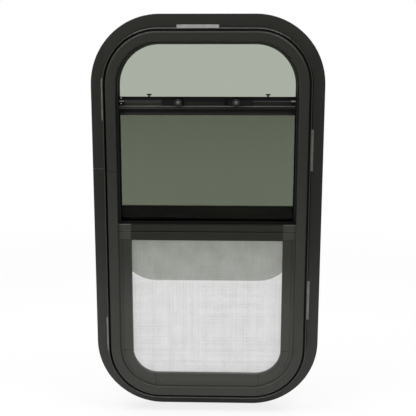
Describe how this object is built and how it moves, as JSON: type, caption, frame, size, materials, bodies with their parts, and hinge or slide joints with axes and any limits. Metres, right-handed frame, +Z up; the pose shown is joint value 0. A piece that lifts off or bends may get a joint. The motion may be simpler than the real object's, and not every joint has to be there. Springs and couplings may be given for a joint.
{
  "type": "caravan window",
  "caption": "Vertical sliding caravan window: rounded bent frame with a wall flange, fixed upper glass, raised tinted sash with slide latches, and a framed insect screen.",
  "frame": {"origin": "on the flange's seating face, at the middle of the bottom run of the flange", "axes": "+Z up, +X right as seen from inside the vehicle, -Y towards the room and +Y to the outside"},
  "size_m": [0.343, 0.0342, 0.597],
  "materials": {
    "frame_coat": "satin powder coat",
    "screen_coat": "satin powder coat",
    "screen_corner": "satin moulded plastic",
    "rail_coat": "satin powder coat",
    "upper_glass": "grey green tint",
    "sash_tint": "grey green tint",
    "seal": "matt",
    "pile": "short black pile",
    "latch_plastic": "satin",
    "latch_steel": "dark rod, worn bright at its end",
    "screen_wire": "coated glass fibre yarn",
    "strip_tape": "dull grey strip"
  },
  "bodies": {
    "root": {"outer_frame": "frame_coat", "fixed_glass": "upper_glass", "glazing_gasket": "seal", "meeting_rail": "rail_coat", "meeting_rail_seal": "pile", "sash_glass": "sash_tint", "sash_top_rail": "rail_coat", "sash_end_cap_left": "latch_plastic", "sash_end_cap_right": "latch_plastic", "latch_slide_left": "latch_plastic", "latch_slide_right": "latch_plastic", "latch_knob_left": "latch_plastic", "latch_knob_right": "latch_plastic", "latch_bolt_left": "latch_steel", "latch_bolt_right": "latch_steel", "stop_pad_left": "seal", "stop_pad_right": "seal", "guide_channel_left": "pile", "guide_channel_right": "pile", "sill_seal": "seal", "screen_top_rail": "screen_coat", "screen_key_left": "screen_corner", "screen_key_right": "screen_corner", "screen_stile_left": "screen_coat", "screen_stile_right": "screen_coat", "screen_corner_left": "screen_corner", "screen_corner_right": "screen_corner", "screen_bottom_rail": "screen_coat", "screen_spline": "seal", "screen_mesh": "screen_wire", "strip_top": "strip_tape", "strip_left_upper": "strip_tape", "strip_right_upper": "strip_tape", "strip_left_lower": "strip_tape", "strip_right_lower": "strip_tape"}
  },
  "joints": []
}
